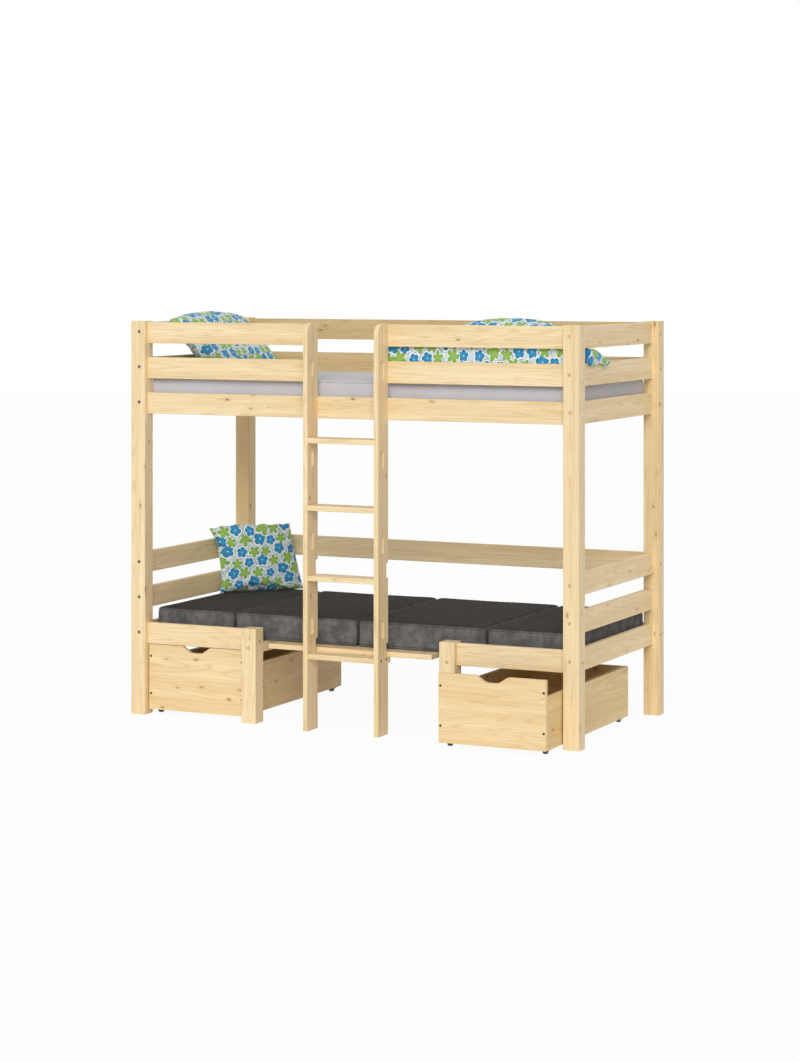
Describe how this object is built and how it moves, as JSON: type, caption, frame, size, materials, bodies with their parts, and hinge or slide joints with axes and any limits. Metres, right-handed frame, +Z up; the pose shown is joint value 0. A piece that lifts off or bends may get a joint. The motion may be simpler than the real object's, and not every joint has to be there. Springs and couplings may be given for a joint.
{
  "type": "bunk bed with desk",
  "caption": "Pine bunk bed whose lower bed turns into two seats and a desk, with a front ladder, roll-out drawers, cushions and bedding",
  "frame": {"origin": "on the floor, midway along the bed, and midway between the rear post faces and the front of the open right drawer", "axes": "+X runs along the bed to the right seen from the ladder side, +Y runs to the rear, +Z is up"},
  "size_m": [2.12, 1.186, 1.7679],
  "materials": {
    "pine_frame": "clear lacquered solid pine, planed and lightly eased edges",
    "pine_drawer": "clear lacquered glued pine board",
    "pine_slat": "sawn and planed pine, unfinished",
    "panel_ply": "thin plywood",
    "plug_wood": "end-grain wooden plug",
    "dark_steel": "dark blued steel screw and bolt heads",
    "wheel_black": "black moulded nylon wheel",
    "grey_suede": "dark grey mottled suede-like cover",
    "mattress_ticking": "light grey woven mattress cover",
    "printed_cotton": null
  },
  "bodies": {
    "frame": {"back_board_rear": "pine_frame", "bed_rail_front": "pine_frame", "bed_rail_rear": "pine_frame", "duvet": "printed_cotton", "end_boards_lower_left": "pine_frame", "end_boards_lower_right": "pine_frame", "end_boards_upper_left": "pine_frame", "end_boards_upper_right": "pine_frame", "frame_bolts": "dark_steel", "guard_mid_front_left": "pine_frame", "guard_mid_front_right": "pine_frame", "guard_mid_rear": "pine_frame", "guard_top_front_left": "pine_frame", "guard_top_front_right": "pine_frame", "guard_top_rear": "pine_frame", "ladder_plugs": "plug_wood", "ladder_treads": "pine_frame", "ladder_upright_left": "pine_frame", "ladder_upright_right": "pine_frame", "ledgers_seat": "pine_slat", "ledgers_upper": "pine_slat", "mattress": "mattress_ticking", "pillow_lower": "printed_cotton", "pillow_upper": "printed_cotton", "post_front_left": "pine_frame", "post_front_right": "pine_frame", "post_rear_left": "pine_frame", "post_rear_right": "pine_frame", "seat_beam_left": "pine_frame", "seat_beam_right": "pine_frame", "seat_cushion_left": "grey_suede", "seat_cushion_right": "grey_suede", "seat_rail_front_left": "pine_frame", "seat_rail_front_right": "pine_frame", "seat_rail_rear": "pine_frame", "short_post_left": "pine_frame", "short_post_right": "pine_frame", "slats_seat_left": "pine_slat", "slats_seat_right": "pine_slat", "slats_upper": "pine_slat", "table_cleats": "pine_slat", "table_ledger": "pine_slat"},
    "drawer_left": {"drawer_left_back": "pine_drawer", "drawer_left_fasteners": "dark_steel", "drawer_left_front": "pine_drawer", "drawer_left_panel": "panel_ply", "drawer_left_sides": "pine_drawer"},
    "drawer_right": {"drawer_right_back": "pine_drawer", "drawer_right_fasteners": "dark_steel", "drawer_right_front": "pine_drawer", "drawer_right_panel": "panel_ply", "drawer_right_sides": "pine_drawer"},
    "wheels_left_front": {"drawer_left_wheels_front": "wheel_black"},
    "wheels_left_rear": {"drawer_left_wheels_rear": "wheel_black"},
    "wheels_right_front": {"drawer_right_wheels_front": "wheel_black"},
    "wheels_right_rear": {"drawer_right_wheels_rear": "wheel_black"},
    "table": {"tabletop": "pine_frame"},
    "cushion_left": {"table_cushion_left": "grey_suede"},
    "cushion_right": {"table_cushion_right": "grey_suede"}
  },
  "joints": [
    {"name": "drawer_left_roll", "type": "slide", "parent": "frame", "child": "drawer_left", "axis": [0, -1, 0], "range_m": [0, 0.7]},
    {"name": "drawer_right_roll", "type": "slide", "parent": "frame", "child": "drawer_right", "axis": [0, -1, 0], "range_m": [-0.2, 0.5]},
    {"name": "wheels_left_front_spin", "type": "hinge", "parent": "drawer_left", "child": "wheels_left_front", "pos_m": [-0.7475, -0.331, 0.02], "axis": [1, 0, 0], "continuous": true},
    {"name": "wheels_left_rear_spin", "type": "hinge", "parent": "drawer_left", "child": "wheels_left_rear", "pos_m": [-0.7475, 0.497, 0.02], "axis": [1, 0, 0], "continuous": true},
    {"name": "wheels_right_front_spin", "type": "hinge", "parent": "drawer_right", "child": "wheels_right_front", "pos_m": [0.7475, -0.531, 0.02], "axis": [1, 0, 0], "continuous": true},
    {"name": "wheels_right_rear_spin", "type": "hinge", "parent": "drawer_right", "child": "wheels_right_rear", "pos_m": [0.7475, 0.297, 0.02], "axis": [1, 0, 0], "continuous": true},
    {"name": "table_lift", "type": "slide", "parent": "frame", "child": "table", "axis": [0, 0, 1], "range_m": [0, 0.335]},
    {"name": "cushion_left_lift", "type": "slide", "parent": "table", "child": "cushion_left", "axis": [0, 0, 1], "range_m": [0, 0.35]},
    {"name": "cushion_right_lift", "type": "slide", "parent": "table", "child": "cushion_right", "axis": [0, 0, 1], "range_m": [0, 0.35]}
  ],
  "couplings": [
    {"joint": "wheels_left_front_spin", "follows": "drawer_left_roll", "rad_per_m": 50},
    {"joint": "wheels_left_rear_spin", "follows": "drawer_left_roll", "rad_per_m": 50},
    {"joint": "wheels_right_front_spin", "follows": "drawer_right_roll", "rad_per_m": 50},
    {"joint": "wheels_right_rear_spin", "follows": "drawer_right_roll", "rad_per_m": 50}
  ]
}
